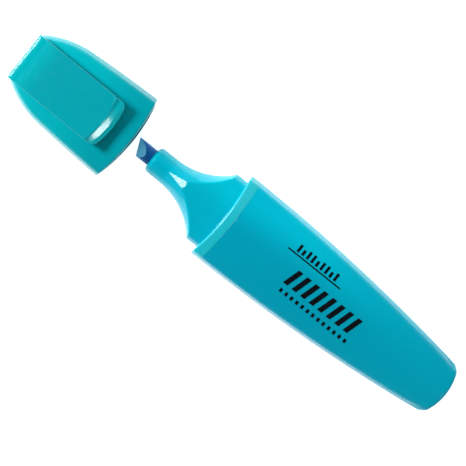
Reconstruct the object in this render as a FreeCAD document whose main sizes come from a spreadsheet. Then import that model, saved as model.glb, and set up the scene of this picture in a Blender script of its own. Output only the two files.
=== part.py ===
import FreeCAD, Part
import math
import os
import Sketcher
from FreeCAD import Placement, Rotation, Vector

# A flat chisel-tip highlighter with a pull-off cap, drawn with its cap off and in line with the nib.
# +X runs from the tail to the nib and on to the cap, +Z is up, out of the printed face. Every sub-part is
# drawn with x = 0 at the parting line, where the closed cap meets the pen, and z = 0 on the underside. The
# cap's sub-parts are drawn closed and stand one cap_travel further along +X. Placements then move it all so
# that the origin is the middle of the footprint.

SIZES = [
    # alias, size in millimetres (ratios have no unit), meaning
    ("rim_half_width", 13.9, "half width at the parting line"),
    ("rim_height", 16.7, "height at the parting line"),
    ("widest_ratio", 0.631, "height of the widest line, as a share of the section's height"),
    ("corner_ratio", 0.854, "height of the top face's edges, as a share of the section's height"),
    ("corner_inset", 1.14, "how far the top face's edges stand in from the widest line"),
    ("barrel_length", 80.1, "parting line to the middle of the tail"),
    ("tail_half_width", 7.95, "half width that the barrel's sides reach at the tail"),
    ("tail_radius", 18.0, "radius of the tail's end in plan"),
    ("tail_corner", 4.0, "radius of the tail's corners in plan"),
    ("edge_round", 0.3, "rounding of the cap's mouth and the tail"),
    ("barrel_wall", 1.3, "wall of the barrel"),
    ("tail_wall", 2.0, "wall at the tail"),
    ("tail_form_end", 82.0, "the barrel is lofted this far back before its tail is trimmed"),
    ("rib_root", 0.7, "height inside the barrel's wall that its inner ribs start from"),
    ("cradle_rear", 74.0, "rear of the two ribs that the reservoir lies on"),
    ("cradle_front", 24.0, "front of those ribs"),
    ("cradle_offset", 3.0, "distance of each of those ribs from the middle line"),
    ("cradle_width", 1.0, "thickness of those ribs"),
    ("cradle_play", 0.05, "play of the reservoir over those ribs"),
    ("stop_rear", 78.6, "rear of the rib that stops the reservoir"),
    ("stop_height", 9.5, "top of that rib"),
    ("stop_width", 1.2, "thickness of that rib"),
    ("stop_play", 0.2, "play of the reservoir against that rib"),
    ("parting_radius", 64.0, "bow of the parting line in plan"),
    ("parting_front", 0.5, "how far the bow of the flange's front falls behind x = 0"),
    ("flange_length", 2.8, "length of the nose section's flange on the middle line"),
    ("flange_rear_radius", 110.0, "bow of the flange's rear in plan"),
    ("rear_gap", 0.03, "joint between the flange and the barrel"),
    ("blank_rear", 6.0, "the flange is cut from a blank that starts this far behind the parting line"),
    ("blank_length", 9.0, "length of that blank"),
    ("overlap", 1.0, "how far features of one moulding run into each other"),
    ("plug_length", 6.0, "length of the nose section's plug inside the barrel"),
    ("plug_play", 0.15, "play of the plug in the barrel's mouth"),
    ("plug_wall", 1.0, "wall of the nose section's plug"),
    ("nose_wall", 1.3, "wall of the nose section"),
    ("collar_inset", 2.3, "how far the cap's collar stands in from the outside"),
    ("axis_height", 8.85, "height of the nib's axis"),
    ("snout_radius", 4.06, "radius of the snout"),
    ("neck_radius", 4.0, "radius that the flare narrows to, just inside the snout's"),
    ("snout_start", 20.16, "where the flare runs into the snout"),
    ("snout_end", 25.9, "front of the snout"),
    ("snout_round", 1.4, "rounding of the snout's front edge"),
    ("flare_radius", 20.44, "hollow of the flare in plan"),
    ("crease_start", 13.6, "where the nose's flat top breaks down to the snout"),
    ("crease_radius", 30.0, "hollow of the slope from there down to the snout"),
    ("nose_edge_start", 1.14, "width of the nose's rounded edges at the collar, seen from above"),
    ("nose_edge_growth", 4.5, "how much that width would grow up to the snout"),
    ("nose_edge_limit", 3.75, "width where it stops growing"),
    ("nose_bulge_start", 0.02, "rise over chord of the nose's sides at the collar"),
    ("nose_bulge_growth", 0.173, "how much that rise grows before the sides are fully round"),
    ("nose_crown", 30.0, "radius of the nose's flat top, across the nose"),
    ("neck_flat_ratio", 0.17, "half width of the top arc where the flare meets the snout, over its radius"),
    ("neck_crown_ratio", 0.0146, "rise of that arc, over the same radius"),
    ("neck_widest_ratio", 0.0774, "how far the neck's widest line lies below the axis, over the same radius"),
    ("throat_middle", 9.0, "where the nose's inside has its middle section"),
    ("throat_middle_half", 4.9, "half width of that section"),
    ("throat_middle_low", 4.2, "depth of that section below the axis"),
    ("throat_middle_high", 3.6, "height of that section above the axis"),
    ("throat_end", 14.0, "where the nose's inside ends and only the nib's bore goes on"),
    ("throat_end_half", 3.2, "half width there"),
    ("throat_end_low", 2.9, "depth below the axis there"),
    ("throat_end_high", 2.7, "height above the axis there"),
    ("nib_radius", 2.5, "radius of the nib"),
    ("nib_play", 0.02, "play of the nib in its bore"),
    ("nib_tip", 31.0, "middle of the writing edge"),
    ("nib_edge", 1.1, "thickness of the writing edge"),
    ("nib_slant", 24.6, "slant of the writing edge, in degrees"),
    ("nib_bevel", 36.0, "slope of the two flats of the chisel, in degrees"),
    ("nib_shank", -2.0, "where the nib starts to taper to its inner end"),
    ("nib_rear", -13.0, "inner end of the nib"),
    ("nib_rear_radius", 1.0, "radius of the nib's inner end"),
    ("core_front", -7.0, "front of the ink reservoir"),
    ("core_length", 50.0, "length of the ink reservoir"),
    ("core_half_width", 6.6, "half width of the ink reservoir with its film"),
    ("core_height", 7.2, "height of the ink reservoir with its film"),
    ("core_axis", 7.6, "height of the ink reservoir's axis"),
    ("film", 0.25, "thickness of the reservoir's film"),
    ("film_play", 0.01, "play between the core and its film"),
    ("nib_seat_play", 0.03, "play round the nib's inner end in the reservoir"),
    ("film_lip", 1.0, "how far the film runs past the core at each end"),
    ("cap_length", 37.9, "parting line to the cap's flat end"),
    ("cap_gap", 0.1, "gap at the parting line with the cap on"),
    ("cap_wall", 1.6, "wall of the cap"),
    ("cap_floor", 1.9, "wall at the cap's end"),
    ("cap_side_start", 13.88, "half width of the cap at the parting line"),
    ("cap_side_end", 12.7, "half width of the cap where its shoulder starts"),
    ("cap_shoulder", 23.5, "where the cap's shoulder starts"),
    ("cap_shoulder_radius", 29.0, "radius of the cap's shoulder in plan"),
    ("cap_shoulder_slope", 4.5, "slope of the side where the shoulder starts, in degrees"),
    ("cap_top_drop", 2.5, "how far the cap's top falls towards its end"),
    ("cap_base_rise", 2.2, "how far the cap's underside rises towards its end"),
    ("cap_travel", 33.75, "how far the cap stands off the pen"),
    ("seat_rib_gap", 0.1, "play between the cap's seat ribs and the collar"),
    ("seat_rib_start", 0.9, "start of the seat ribs in the cap's mouth"),
    ("seat_rib_end", 4.3, "end of the seat ribs"),
    ("seat_rib_offset", 6.0, "distance of the seat ribs from the middle line"),
    ("seat_rib_width", 1.0, "thickness of the seat ribs"),
    ("seat_rib_top", 15.4, "height inside the cap's top that the upper ribs grow from"),
    ("seat_rib_base", 2.2, "height inside the cap's belly that the lower ribs grow from"),
    ("seal_play", 0.1, "play of the inner cap round the snout"),
    ("seal_wall", 0.8, "wall of the inner cap"),
    ("seal_front", 20.6, "mouth of the inner cap"),
    ("seal_step", 26.3, "step from the snout's bore to the nib's bore"),
    ("seal_nib_radius", 3.2, "bore of the inner cap round the nib"),
    ("seal_end", 34.8, "closed end of the inner cap"),
    ("seal_floor", 1.0, "wall at that end"),
    ("seal_chamfer", 0.3, "chamfer in the inner cap's mouth"),
    ("spigot_front", 32.2, "front of the socket that holds the inner cap"),
    ("spigot_play", 0.02, "play of the inner cap in its socket"),
    ("spigot_wall", 0.9, "wall of that socket"),
    ("clip_half_width", 7.5, "half width of the clip"),
    ("clip_thickness", 2.0, "thickness of the clip"),
    ("clip_free_end", 5.75, "middle of the clip's free end"),
    ("clip_end_radius", 23.0, "bow of the clip's free end in plan"),
    ("clip_corner", 2.2, "radius of the clip's free corners in plan"),
    ("clip_bevel", 2.2, "length of the bevel across the clip's free end"),
    ("clip_bevel_drop", 1.1, "fall of that bevel"),
    ("clip_lip", 1.1, "length of the blunt lip in front of the bevel"),
    ("clip_lip_height", 0.35, "height of the lip's foremost edge over the clip's underside"),
    ("clip_lip_under", 0.3, "how far the underside starts behind that edge"),
    ("clip_rise", 1.6, "gap under the clip's free end"),
    ("hinge_inset", 2.5, "clip's root to the cap's end"),
    ("hinge_height", 15.65, "height of the clip's root"),
    ("hinge_play", 0.06, "play round the clip's root"),
    ("pad_root", 12.5, "height inside the cap that the clip's pad grows from"),
]

SIDE_REACH = 20.0   # sketches that trim the outside reach this far to each side of the middle line
FAR = 30.0          # cuts run this far, which takes them well clear of the sub-part

doc = FreeCAD.newDocument("highlighter")
dims = doc.addObject("Spreadsheet::Sheet", "dims")
for row, (alias, size, meaning) in enumerate(SIZES, start=1):
    dims.set(f"A{row}", meaning)
    dims.set(f"B{row}", str(size))
    dims.setAlias(f"B{row}", alias)
doc.recompute()


# ---- tools ----------------------------------------------------------------------------------------------

def evaluate(expression):
    """The number that an expression over the sheet stands for."""
    result = dims.evalExpression(str(expression))
    return float(getattr(result, "Value", result))


def new_body(label):
    body = doc.addObject("PartDesign::Body", label)
    body.Label = label
    return body


def origin_plane(body, role):
    return next(item for item in body.Origin.OriginFeatures if item.Role == role)


def new_sketch(body, name, role, offset="0"):
    """An empty sketch on an origin plane, moved along that plane's normal by an expression."""
    sketch = body.newObject("Sketcher::SketchObject", name)
    sketch.AttachmentSupport = [(origin_plane(body, role), "")]
    sketch.MapMode = "FlatFace"
    sketch.AttachmentOffset = Placement(Vector(0, 0, evaluate(offset)), Rotation())
    sketch.setExpression("AttachmentOffset.Base.z", offset)
    return sketch


def pin_point(sketch, edge, end, name, spot):
    """Fix one end of an edge at a pair of expressions."""
    for axis, letter, expression in (("DistanceX", "x", spot[0]), ("DistanceY", "y", spot[1])):
        size = evaluate(expression)
        if abs(size) < 1e-9:
            reference = -2 if axis == "DistanceX" else -1
            sketch.addConstraint(Sketcher.Constraint("PointOnObject", edge, end, reference))
            continue
        index = sketch.addConstraint(Sketcher.Constraint(axis, -1, 1, edge, end, size))
        sketch.renameConstraint(index, name + letter)
        sketch.setExpression("Constraints." + name + letter, expression)


def arc_between(start, end, radius, turn):
    """The shorter arc from start to end; turn is 1 anticlockwise and -1 clockwise."""
    chord = end - start
    half = chord.Length / 2
    across = Vector(-chord.y, chord.x, 0).normalize()
    centre = (start + end) / 2 + across * turn * math.sqrt(max(radius ** 2 - half ** 2, 0))
    first, last = (start, end) if turn > 0 else (end, start)
    angles = [math.atan2(point.y - centre.y, point.x - centre.x) for point in (first, last)]
    if angles[1] < angles[0]:
        angles[1] += 2 * math.pi
    return Part.ArcOfCircle(Part.Circle(centre, Vector(0, 0, 1), radius), *angles)


def outline(sketch, corners, arcs=None):
    """A closed outline. corners are pairs of expressions; arcs gives (radius, turn) for the edges that bend,
    by the number of the corner where they start."""
    arcs = arcs or {}
    points = [Vector(evaluate(x), evaluate(y), 0) for x, y in corners]
    starts = []
    ends = []
    for number, start in enumerate(points):
        end = points[(number + 1) % len(points)]
        if number not in arcs:
            sketch.addGeometry(Part.LineSegment(start, end))
            starts.append(1)
            ends.append(2)
            continue
        radius, turn = arcs[number]
        sketch.addGeometry(arc_between(start, end, evaluate(radius), turn))
        starts.append(1 if turn > 0 else 2)
        ends.append(2 if turn > 0 else 1)
    for number, spot in enumerate(corners):
        before = (number - 1) % len(corners)
        sketch.addConstraint(Sketcher.Constraint("Coincident", before, ends[before], number, starts[number]))
        pin_point(sketch, number, starts[number], f"p{number}", spot)
    for number, (radius, turn) in arcs.items():
        index = sketch.addConstraint(Sketcher.Constraint("Radius", number, evaluate(radius)))
        sketch.renameConstraint(index, f"r{number}")
        sketch.setExpression(f"Constraints.r{number}", radius)
    return sketch


def ring(sketch, centre_height, radius):
    """A circle about the point (0, centre_height)."""
    sketch.addGeometry(Part.Circle(Vector(0, evaluate(centre_height), 0), Vector(0, 0, 1), evaluate(radius)))
    pin_point(sketch, 0, 3, "c", ("0", centre_height))
    index = sketch.addConstraint(Sketcher.Constraint("Radius", 0, evaluate(radius)))
    sketch.renameConstraint(index, "r")
    sketch.setExpression("Constraints.r", radius)
    return sketch


def arch_radius(half_chord, rise):
    return f"((({half_chord})^2 + ({rise})^2) / (2 * ({rise})))"


def loft(body, name, sketches, cut=False):
    kind = "PartDesign::SubtractiveLoft" if cut else "PartDesign::AdditiveLoft"
    feature = body.newObject(kind, name)
    feature.Profile = sketches[0]
    feature.Sections = sketches[1:]
    return feature


def pad(body, name, sketch, length, symmetric=False):
    """Pad a sketch along its plane's normal."""
    feature = body.newObject("PartDesign::Pad", name)
    feature.Profile = sketch
    feature.SideType = "Symmetric" if symmetric else "One side"
    feature.setExpression("Length", length)
    return feature


def pocket(body, name, sketch, length, symmetric=False):
    """Cut a sketch along its plane's normal."""
    feature = body.newObject("PartDesign::Pocket", name)
    feature.Profile = sketch
    feature.SideType = "Symmetric" if symmetric else "One side"
    feature.Reversed = not symmetric
    feature.setExpression("Length", length)
    return feature


def fillet(body, name, radius, chosen):
    """Round the edges whose bounding boxes pass a test."""
    doc.recompute()
    base = body.Tip
    edges = [f"Edge{number}" for number, edge in enumerate(base.Shape.Edges, start=1)
             if chosen(edge.BoundBox)]
    feature = body.newObject("PartDesign::Fillet", name)
    feature.Base = (base, edges)
    feature.setExpression("Radius", radius)
    body.Tip = feature
    return feature


def trim(body, name, sketch):
    """Cut away what a plan sketch covers, right through the height."""
    return pocket(body, name, sketch, f"4 * {FAR}", symmetric=True)


def bow_trim(body, name, middle, radius, remove):
    """Trim to an arc in plan whose middle lies furthest back. remove is the side that goes, 1 for +X or
    -1 for -X."""
    reach = str(SIDE_REACH)
    edge = f"({middle}) + ({radius} - sqrt(({radius})^2 - {reach}^2))"
    far = f"({middle}) + ({remove}) * {FAR}"
    corners = [(edge, reach), (edge, f"-{reach}"), (far, f"-{reach}"), (far, reach)]
    sketch = new_sketch(body, name + "_outline", "XY_Plane")
    outline(sketch, corners, {0: (radius, 1)})
    return trim(body, name, sketch)


# ---- the pen's outside ----------------------------------------------------------------------------------

def pen_section(body, name, station, half_width, base="0", top="dims.rim_height"):
    """One cross-section of the pen: arched top face, steep facets down to the widest line, round belly."""
    height = f"(({top}) - ({base}))"
    corner = f"(({half_width}) - dims.corner_inset)"
    corner_height = f"(({base}) + {height} * dims.corner_ratio)"
    widest_height = f"(({base}) + {height} * dims.widest_ratio)"
    corners = [(corner, corner_height), (f"-{corner}", corner_height),
               (f"-({half_width})", widest_height), (half_width, widest_height)]
    arcs = {0: (arch_radius(corner, f"{height} * (1 - dims.corner_ratio)"), 1),
            2: (arch_radius(half_width, f"{height} * dims.widest_ratio"), 1)}
    return outline(new_sketch(body, name, "YZ_Plane", station), corners, arcs)


def barrel_half_width(station):
    """Half width of the barrel at a place behind the parting line."""
    fall = "(dims.rim_half_width - dims.tail_half_width)"
    return f"(dims.rim_half_width - {fall} * (({station}) / dims.barrel_length)^2)"


def barrel_sections(body, name, stations, inset):
    """Barrel sections, all of one shape, set in from the outside by inset."""
    sketches = []
    for number, station in enumerate(stations):
        half = barrel_half_width(station)
        top = f"({half} / dims.rim_half_width * dims.rim_height - ({inset}))"
        sketches.append(pen_section(body, f"{name}_{number}", station, f"({half} - ({inset}))", inset, top))
    return sketches


def cap_half_width(station):
    """Half width of the cap: a straight taper up to the shoulder, then an arc to the end."""
    if evaluate(station) <= evaluate("dims.cap_shoulder"):
        share = f"(({station}) / dims.cap_shoulder)"
        fall = "(dims.cap_side_start - dims.cap_side_end)"
        return f"(dims.cap_side_start - {fall} * (0.55 * {share} + 0.45 * {share}^2))"
    centre_x = "(dims.cap_shoulder - dims.cap_shoulder_radius * sin(dims.cap_shoulder_slope * 1deg))"
    centre_y = "(dims.cap_side_end - dims.cap_shoulder_radius * cos(dims.cap_shoulder_slope * 1deg))"
    return f"({centre_y} + sqrt(dims.cap_shoulder_radius^2 - (({station}) - {centre_x})^2))"


def cap_sections(body, name, stations, inset):
    """Cap sections, set in from the outside by inset. The top falls and the underside rises to the end."""
    sketches = []
    for number, station in enumerate(stations):
        share = f"(max(({station}); 0) / dims.cap_length)^2"
        base = f"(dims.cap_base_rise * {share} + ({inset}))"
        top = f"(dims.rim_height - dims.cap_top_drop * {share} - ({inset}))"
        half = f"({cap_half_width(station)} - ({inset}))"
        sketches.append(pen_section(body, f"{name}_{number}", station, half, base, top))
    return sketches


# ---- pen sub-parts --------------------------------------------------------------------------------------

FLANGE_REAR = "(-dims.parting_front - dims.flange_length)"
TAIL_LINE = 70.0    # the barrel's side is taken as straight from this far behind the parting line
TAIL_ZONE = 4.0     # edges this close to the tail's end belong to it
SEAM = 0.05         # edges shorter than this in plan are seams, which are not rounded
BARREL_STATIONS = ["1", "-20", "-40", "-60"]


def tail_trim(body, side):
    """Round one corner and one half of the tail in plan. side is 1 for +Y or -1 for -Y."""
    line_start = f"(-{TAIL_LINE})"
    half = barrel_half_width(line_start)
    slope = f"(2 * (dims.rim_half_width - dims.tail_half_width) * {TAIL_LINE} / dims.barrel_length^2)"
    run = f"sqrt(1 + {slope}^2)"
    # The corner arc touches the side line and the end arc from inside. Its centre is found from the line's
    # offset by the corner radius and the end arc's radius less the corner radius.
    end_centre = "(dims.tail_radius - dims.barrel_length)"
    gap = "(dims.tail_radius - dims.tail_corner)"
    offset_height = f"(({half}) - dims.tail_corner * {run} + {slope} * ({end_centre} - ({line_start})))"
    root = f"sqrt({gap}^2 * (1 + {slope}^2) - ({offset_height})^2)"
    along = f"((-({offset_height}) * {slope} - {root}) / (1 + {slope}^2))"
    centre_x = f"({end_centre} + {along})"
    centre_y = f"({offset_height} + {slope} * {along})"
    line_touch = (f"({centre_x} - dims.tail_corner * {slope} / {run})",
                  f"({side}) * ({centre_y} + dims.tail_corner / {run})")
    end_touch = (f"({end_centre} + {along} * dims.tail_radius / {gap})",
                 f"({side}) * {centre_y} * dims.tail_radius / {gap}")
    far = f"(-dims.barrel_length - {FAR})"
    corners = [(line_start, f"({side}) * ({half})"), line_touch, end_touch, ("-dims.barrel_length", "0"),
               (far, "0"), (far, f"({side}) * {SIDE_REACH}"), (line_start, f"({side}) * {SIDE_REACH}")]
    name = "tail_left" if side > 0 else "tail_right"
    sketch = new_sketch(body, name + "_outline", "XY_Plane")
    outline(sketch, corners, {1: ("dims.tail_corner", side), 2: ("dims.tail_radius", side)})
    return trim(body, name, sketch)


def barrel():
    """The tapering body: a closed-end tube with ribs that cradle the reservoir."""
    body = new_body("barrel")
    outside = barrel_sections(body, "outside", BARREL_STATIONS + ["-dims.tail_form_end"], "0")
    loft(body, "outer_form", outside)
    bow_trim(body, "mouth", f"{FLANGE_REAR} - dims.rear_gap", "dims.flange_rear_radius", 1)
    for side in (1, -1):
        body.Tip = tail_trim(body, side)
    tail = evaluate(f"{TAIL_ZONE} - dims.barrel_length")
    fillet(body, "tail_edge", "dims.edge_round",
           lambda box: box.XMax < tail and max(box.XLength, box.YLength) > SEAM)
    floor = "-dims.barrel_length + dims.tail_wall + 1.5"
    inside = barrel_sections(body, "inside", BARREL_STATIONS + [floor], "dims.barrel_wall")
    loft(body, "cavity", inside, cut=True)
    barrel_ribs(body)
    return body


def barrel_ribs(body):
    """Two ribs that the reservoir lies on, and one behind it that stops it."""
    top = "dims.core_axis - dims.core_height / 2 - dims.cradle_play"
    for number, side in enumerate((-1, 1)):
        sketch = new_sketch(body, f"cradle_{number}_outline", "XZ_Plane", f"({-side}) * dims.cradle_offset")
        outline(sketch, [("-dims.cradle_rear", "dims.rib_root"), ("-dims.cradle_front", "dims.rib_root"),
                         ("-dims.cradle_front", top), ("-dims.cradle_rear", top)])
        pad(body, f"cradle_{number}", sketch, "dims.cradle_width", symmetric=True)
    front = "dims.core_front - dims.core_length - dims.film_lip - dims.stop_play"
    sketch = new_sketch(body, "stop_outline", "XZ_Plane")
    outline(sketch, [("-dims.stop_rear", "dims.rib_root"), (front, "dims.rib_root"),
                     (front, "dims.stop_height"), ("-dims.stop_rear", "dims.stop_height")])
    body.Tip = pad(body, "stop", sketch, "dims.stop_width", symmetric=True)


def nose_section():
    """One moulding: plug, flange, the cap's collar, flared nose and snout."""
    body = new_body("nose_section")
    sketch = pen_section(body, "flange_section", "-dims.blank_rear", "dims.rim_half_width")
    pad(body, "flange_blank", sketch, "dims.blank_length")
    bow_trim(body, "flange_front", "-dims.parting_front", "dims.parting_radius", 1)
    body.Tip = bow_trim(body, "flange_rear", FLANGE_REAR, "dims.flange_rear_radius", -1)

    inset = "(dims.barrel_wall + dims.plug_play)"
    rear = f"({FLANGE_REAR} - dims.plug_length)"
    sketch = pen_section(body, "plug_section", rear, f"(dims.rim_half_width - {inset})", inset,
                         f"(dims.rim_height - {inset})")
    pad(body, "plug", sketch, "dims.plug_length + dims.overlap")

    collar_half = "(dims.rim_half_width - dims.collar_inset)"
    collar_top = "(dims.rim_height - dims.collar_inset)"
    sketch = pen_section(body, "collar_section", "-2 * dims.overlap", collar_half, "dims.collar_inset",
                         collar_top)
    shoulder = ("(dims.snout_start - sqrt(dims.flare_radius^2 - (dims.flare_radius"
                " + dims.neck_radius - dims.rim_half_width + dims.collar_inset)^2))")
    pad(body, "collar", sketch, f"2 * dims.overlap + {shoulder}")

    nose_sections = [nose_ring(body, number, share, shoulder)
                     for number, share in enumerate((0.0, 0.2, 0.4, 0.6, 0.8, 1.0))]
    loft(body, "flare", nose_sections)
    snout = ring(new_sketch(body, "snout_section", "YZ_Plane", "dims.snout_start"), "dims.axis_height",
                 "dims.snout_radius")
    body.Tip = pad(body, "snout", snout, "dims.snout_end - dims.snout_start")
    front = evaluate("dims.snout_end") - 0.01
    fillet(body, "snout_front", "dims.snout_round", lambda box: box.XMin > front)
    crease_cut(body, collar_top)
    nose_hollow(body)
    return body


NECK_TUCK = 0.003   # the last nose section is drawn this share smaller, so that it lies inside the snout
RIDGE_SHARE = 0.75  # the nose's ridge stays level up to this share of its length
FLAT_SHARE = 0.7    # the flat top's width follows the sides up to this share
ROUND_SHARE = 0.6   # and the sides are fully round from this one


def nose_ring(body, number, share, shoulder):
    """One section of the flared nose. share runs from 0 at the collar to 1 at the snout."""
    station = f"({shoulder} + {share} * (dims.snout_start - {shoulder}))"
    half = (f"(dims.neck_radius * {1 - NECK_TUCK * share} + dims.flare_radius"
            f" - sqrt(dims.flare_radius^2 - (dims.snout_start - {station})^2))")
    collar_top = "(dims.rim_height - dims.collar_inset)"
    collar_height = "(dims.rim_height - 2 * dims.collar_inset)"
    snout_top = "(dims.axis_height + dims.neck_radius)"
    drop = max(share - RIDGE_SHARE, 0) / (1 - RIDGE_SHARE)
    top = f"({collar_top} + {drop} * ({snout_top} - {collar_top}))"
    lift = 1 - (1 - share) ** 2
    base = f"(dims.collar_inset + {lift} * (dims.axis_height - dims.neck_radius - dims.collar_inset))"
    collar_widest = f"(dims.collar_inset + {collar_height} * dims.widest_ratio)"
    snout_widest = "(dims.axis_height - dims.neck_widest_ratio * dims.neck_radius)"
    widest = f"({collar_widest} + {share} * ({snout_widest} - {collar_widest}))"
    # The flat of the top narrows towards the snout while its rounded edges widen.
    edge = f"min(dims.nose_edge_start + dims.nose_edge_growth * {share}; dims.nose_edge_limit)"
    flat = f"({half} - {edge})" if share < FLAT_SHARE else "(dims.neck_radius * dims.neck_flat_ratio)"
    arch = f"({flat})^2 / (2 * dims.nose_crown)"
    if share == 1.0:
        arch = "(dims.neck_radius * dims.neck_crown_ratio)"
    if share == 0.0:
        arch = f"({collar_height} * (1 - dims.corner_ratio))"
    flat_height = f"({top} - {arch})"
    chord = f"sqrt(({half} - {flat})^2 + ({flat_height} - {widest})^2)"
    bulge = f"(dims.nose_bulge_start + dims.nose_bulge_growth * {min(share / ROUND_SHARE, 1.0)})"
    side_radius = f"({chord} * (0.125 / {bulge} + {bulge} / 2))"
    corners = [(flat, flat_height), (f"-{flat}", flat_height), (f"-{half}", widest), (half, widest)]
    arcs = {0: (arch_radius(flat, arch), 1), 1: (side_radius, 1),
            2: (arch_radius(half, f"({widest} - {base})"), 1), 3: (side_radius, 1)}
    return outline(new_sketch(body, f"nose_ring_{number}", "YZ_Plane", station), corners, arcs)


def crease_cut(body, collar_top):
    """Hollow the ridge of the nose down to the snout's top, which leaves a crease across the flat."""
    snout_top = "(dims.axis_height + dims.snout_radius)"
    clear = f"({collar_top} + {FAR})"
    corners = [("dims.crease_start", collar_top), ("dims.snout_start", snout_top),
               ("dims.snout_start", clear), ("dims.crease_start", clear)]
    sketch = new_sketch(body, "crease_outline", "XZ_Plane")
    outline(sketch, corners, {0: ("dims.crease_radius", 1)})
    return pocket(body, "crease", sketch, "2 * dims.rim_half_width", symmetric=True)


def nose_hollow(body):
    """Open the nose from behind for the reservoir and bore the snout for the nib."""
    inset = "(dims.collar_inset + dims.nose_wall)"
    half = f"(dims.rim_half_width - {inset})"
    rear = f"({FLANGE_REAR} - dims.plug_length - dims.overlap)"
    throat_start = 3.0
    sketch = pen_section(body, "hollow_section", rear, half, inset, f"(dims.rim_height - {inset})")
    pocket(body, "hollow", sketch, f"{throat_start} - {rear}")
    plug_inset = "(dims.barrel_wall + dims.plug_play + dims.plug_wall)"
    plug_half = f"(dims.rim_half_width - {plug_inset})"
    sketch = pen_section(body, "plug_hollow_section", rear, plug_half, plug_inset,
                         f"(dims.rim_height - {plug_inset})")
    pocket(body, "plug_hollow", sketch, "dims.plug_length + dims.overlap")
    throat = [pen_section(body, "throat_0", f"{throat_start} - 0.1", half, inset,
                          f"(dims.rim_height - {inset})")]
    throat.append(pen_section(body, "throat_1", "dims.throat_middle", "dims.throat_middle_half",
                              "dims.axis_height - dims.throat_middle_low",
                              "dims.axis_height + dims.throat_middle_high"))
    throat.append(pen_section(body, "throat_2", "dims.throat_end", "dims.throat_end_half",
                              "dims.axis_height - dims.throat_end_low",
                              "dims.axis_height + dims.throat_end_high"))
    loft(body, "throat", throat, cut=True)
    sketch = new_sketch(body, "bore_section", "YZ_Plane", "2")
    ring(sketch, "dims.axis_height", "dims.nib_radius + dims.nib_play")
    body.Tip = pocket(body, "bore", sketch, str(FAR))


def nib():
    """The fibre nib: a round rod, tapered at its inner end, cut to a slanted chisel."""
    body = new_body("nib")
    tip = "(dims.nib_tip + dims.nib_radius * tan(dims.nib_slant * 1deg))"
    sketch = new_sketch(body, "rod_section", "YZ_Plane", "dims.nib_shank")
    ring(sketch, "dims.axis_height", "dims.nib_radius")
    pad(body, "rod", sketch, f"{tip} - dims.nib_shank + dims.overlap")
    rear = ring(new_sketch(body, "rear_section", "YZ_Plane", "dims.nib_rear"), "dims.axis_height",
                "dims.nib_rear_radius")
    shank = ring(new_sketch(body, "shank_section", "YZ_Plane", "dims.nib_shank"), "dims.axis_height",
                 "dims.nib_radius")
    loft(body, "tapered_end", [rear, shank])

    reach = "6"
    for number, side in enumerate((1, -1)):
        edge = f"(dims.axis_height + ({side}) * dims.nib_edge / 2)"
        rise = f"({edge} + ({side}) * {reach} * tan(dims.nib_bevel * 1deg))"
        corners = [("0", edge), (f"-{reach}", rise), (reach, rise), (reach, edge)]
        chisel_cut(body, f"flat_{number}", corners)
    low = "(dims.axis_height - 2 * dims.nib_radius)"
    high = "(dims.axis_height + 2 * dims.nib_radius)"
    body.Tip = chisel_cut(body, "writing_edge", [("0", low), (reach, low), (reach, high), ("0", high)])
    return body


def chisel_cut(body, name, corners):
    """Cut square to the writing edge, in a side plane that is turned about Z by the edge's slant."""
    sketch = new_sketch(body, name + "_outline", "XZ_Plane")
    turn = Rotation(Vector(0, 1, 0), evaluate("dims.nib_slant"))
    sketch.AttachmentOffset = Placement(Vector(evaluate("dims.nib_tip"), 0, 0), turn)
    sketch.setExpression("AttachmentOffset.Base.x", "dims.nib_tip")
    sketch.setExpression("AttachmentOffset.Rotation.Angle", "dims.nib_slant * 1deg")
    outline(sketch, corners)
    return pocket(body, name, sketch, str(FAR), symmetric=True)


def oval(body, name, station, inset):
    """The reservoir's section: two half circles joined by straight sides."""
    radius = f"(dims.core_height / 2 - ({inset}))"
    straight = "(dims.core_half_width - dims.core_height / 2)"
    top = f"(dims.core_axis + {radius})"
    low = f"(dims.core_axis - {radius})"
    sketch = new_sketch(body, name, "YZ_Plane", station)
    corners = [(straight, low), (f"{straight} + {radius}", "dims.core_axis"), (straight, top),
               (f"-{straight}", top), (f"-{straight} - {radius}", "dims.core_axis"), (f"-{straight}", low)]
    return outline(sketch, corners, {number: (radius, 1) for number in (0, 1, 3, 4)})


CORE_REAR = "(dims.core_front - dims.core_length)"


def reservoir_core():
    """The bonded fibre rod that holds the ink, with a tapered seat for the nib's inner end."""
    body = new_body("reservoir_core")
    sketch = oval(body, "core_section", CORE_REAR, "dims.film + dims.film_play")
    pad(body, "core", sketch, "dims.core_length")
    play = "dims.nib_seat_play"
    length = "(dims.nib_shank - dims.nib_rear)"
    front_radius = (f"(dims.nib_rear_radius + (dims.nib_radius - dims.nib_rear_radius)"
                    f" * (dims.core_front + dims.overlap - dims.nib_rear) / {length} + {play})")
    rear = ring(new_sketch(body, "seat_rear", "YZ_Plane", f"dims.nib_rear - {play}"), "dims.axis_height",
                f"dims.nib_rear_radius + {play}")
    front = ring(new_sketch(body, "seat_front", "YZ_Plane", "dims.core_front + dims.overlap"),
                 "dims.axis_height", front_radius)
    body.Tip = loft(body, "nib_seat", [rear, front], cut=True)
    return body


def reservoir_wrap():
    """The film tube round the core, a little longer than the core at both ends."""
    body = new_body("reservoir_wrap")
    sketch = oval(body, "outer_section", f"{CORE_REAR} - dims.film_lip", "0")
    pad(body, "tube", sketch, "dims.core_length + 2 * dims.film_lip")
    sketch = oval(body, "inner_section", f"{CORE_REAR} - dims.film_lip - dims.overlap", "dims.film")
    body.Tip = pocket(body, "inside", sketch, f"dims.core_length + {FAR}")
    return body


# ---- cap sub-parts, drawn with the cap on ---------------------------------------------------------------

HINGE_X = "(dims.cap_length - dims.hinge_inset)"
MOUTH_ZONE = 2.0    # edges behind this line are the cap's mouth


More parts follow.
